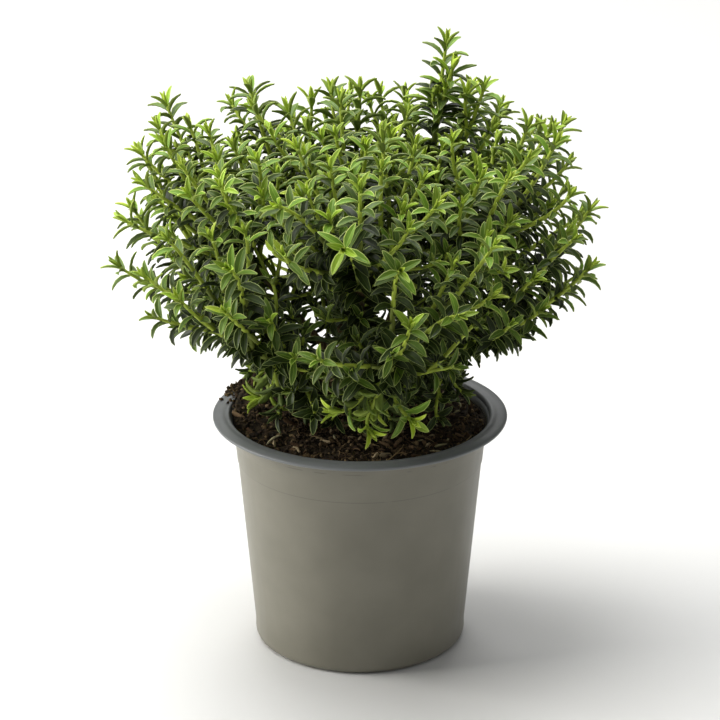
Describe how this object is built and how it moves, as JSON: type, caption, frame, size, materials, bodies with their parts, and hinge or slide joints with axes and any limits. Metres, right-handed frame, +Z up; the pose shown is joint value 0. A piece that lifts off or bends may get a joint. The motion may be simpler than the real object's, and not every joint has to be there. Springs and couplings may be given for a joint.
{
  "type": "potted hebe shrub",
  "caption": "Small evergreen shrub with crosswise pairs of narrow leaves on a short forked stem, standing in a round rimmed nursery pot of compost.",
  "frame": {"origin": "centre of the pot's flat underside", "axes": "+Z up, from the pot's underside to the top of the crown; +X to the right and +Y away, seen from the front"},
  "size_m": [0.1784, 0.1671, 0.2203],
  "materials": {
    "pot": "smooth moulded polypropylene, soft satin",
    "soil": "crumbly dark peat compost with bark bits",
    "stem": "thin greenish-brown bark",
    "foliage": "dark green leaves with pale margins, bright at the shoot tips"
  },
  "bodies": {
    "root": {"pot": "pot", "soil": "soil", "main_stem": "stem", "bough_low_1": "stem", "bough_low_2": "stem", "bough_low_3": "stem", "bough_low_4": "stem", "bough_low_5": "stem", "bough_low_6": "stem", "bough_mid_1": "stem", "bough_mid_2": "stem", "bough_mid_3": "stem", "bough_mid_4": "stem", "bough_mid_5": "stem", "bough_top_1": "stem", "foliage_low_1": "foliage", "foliage_low_2": "foliage", "foliage_low_3": "foliage", "foliage_low_4": "foliage", "foliage_low_5": "foliage", "foliage_low_6": "foliage", "foliage_mid_1": "foliage", "foliage_mid_2": "foliage", "foliage_mid_3": "foliage", "foliage_mid_4": "foliage", "foliage_mid_5": "foliage", "foliage_top_1": "foliage"}
  },
  "joints": []
}
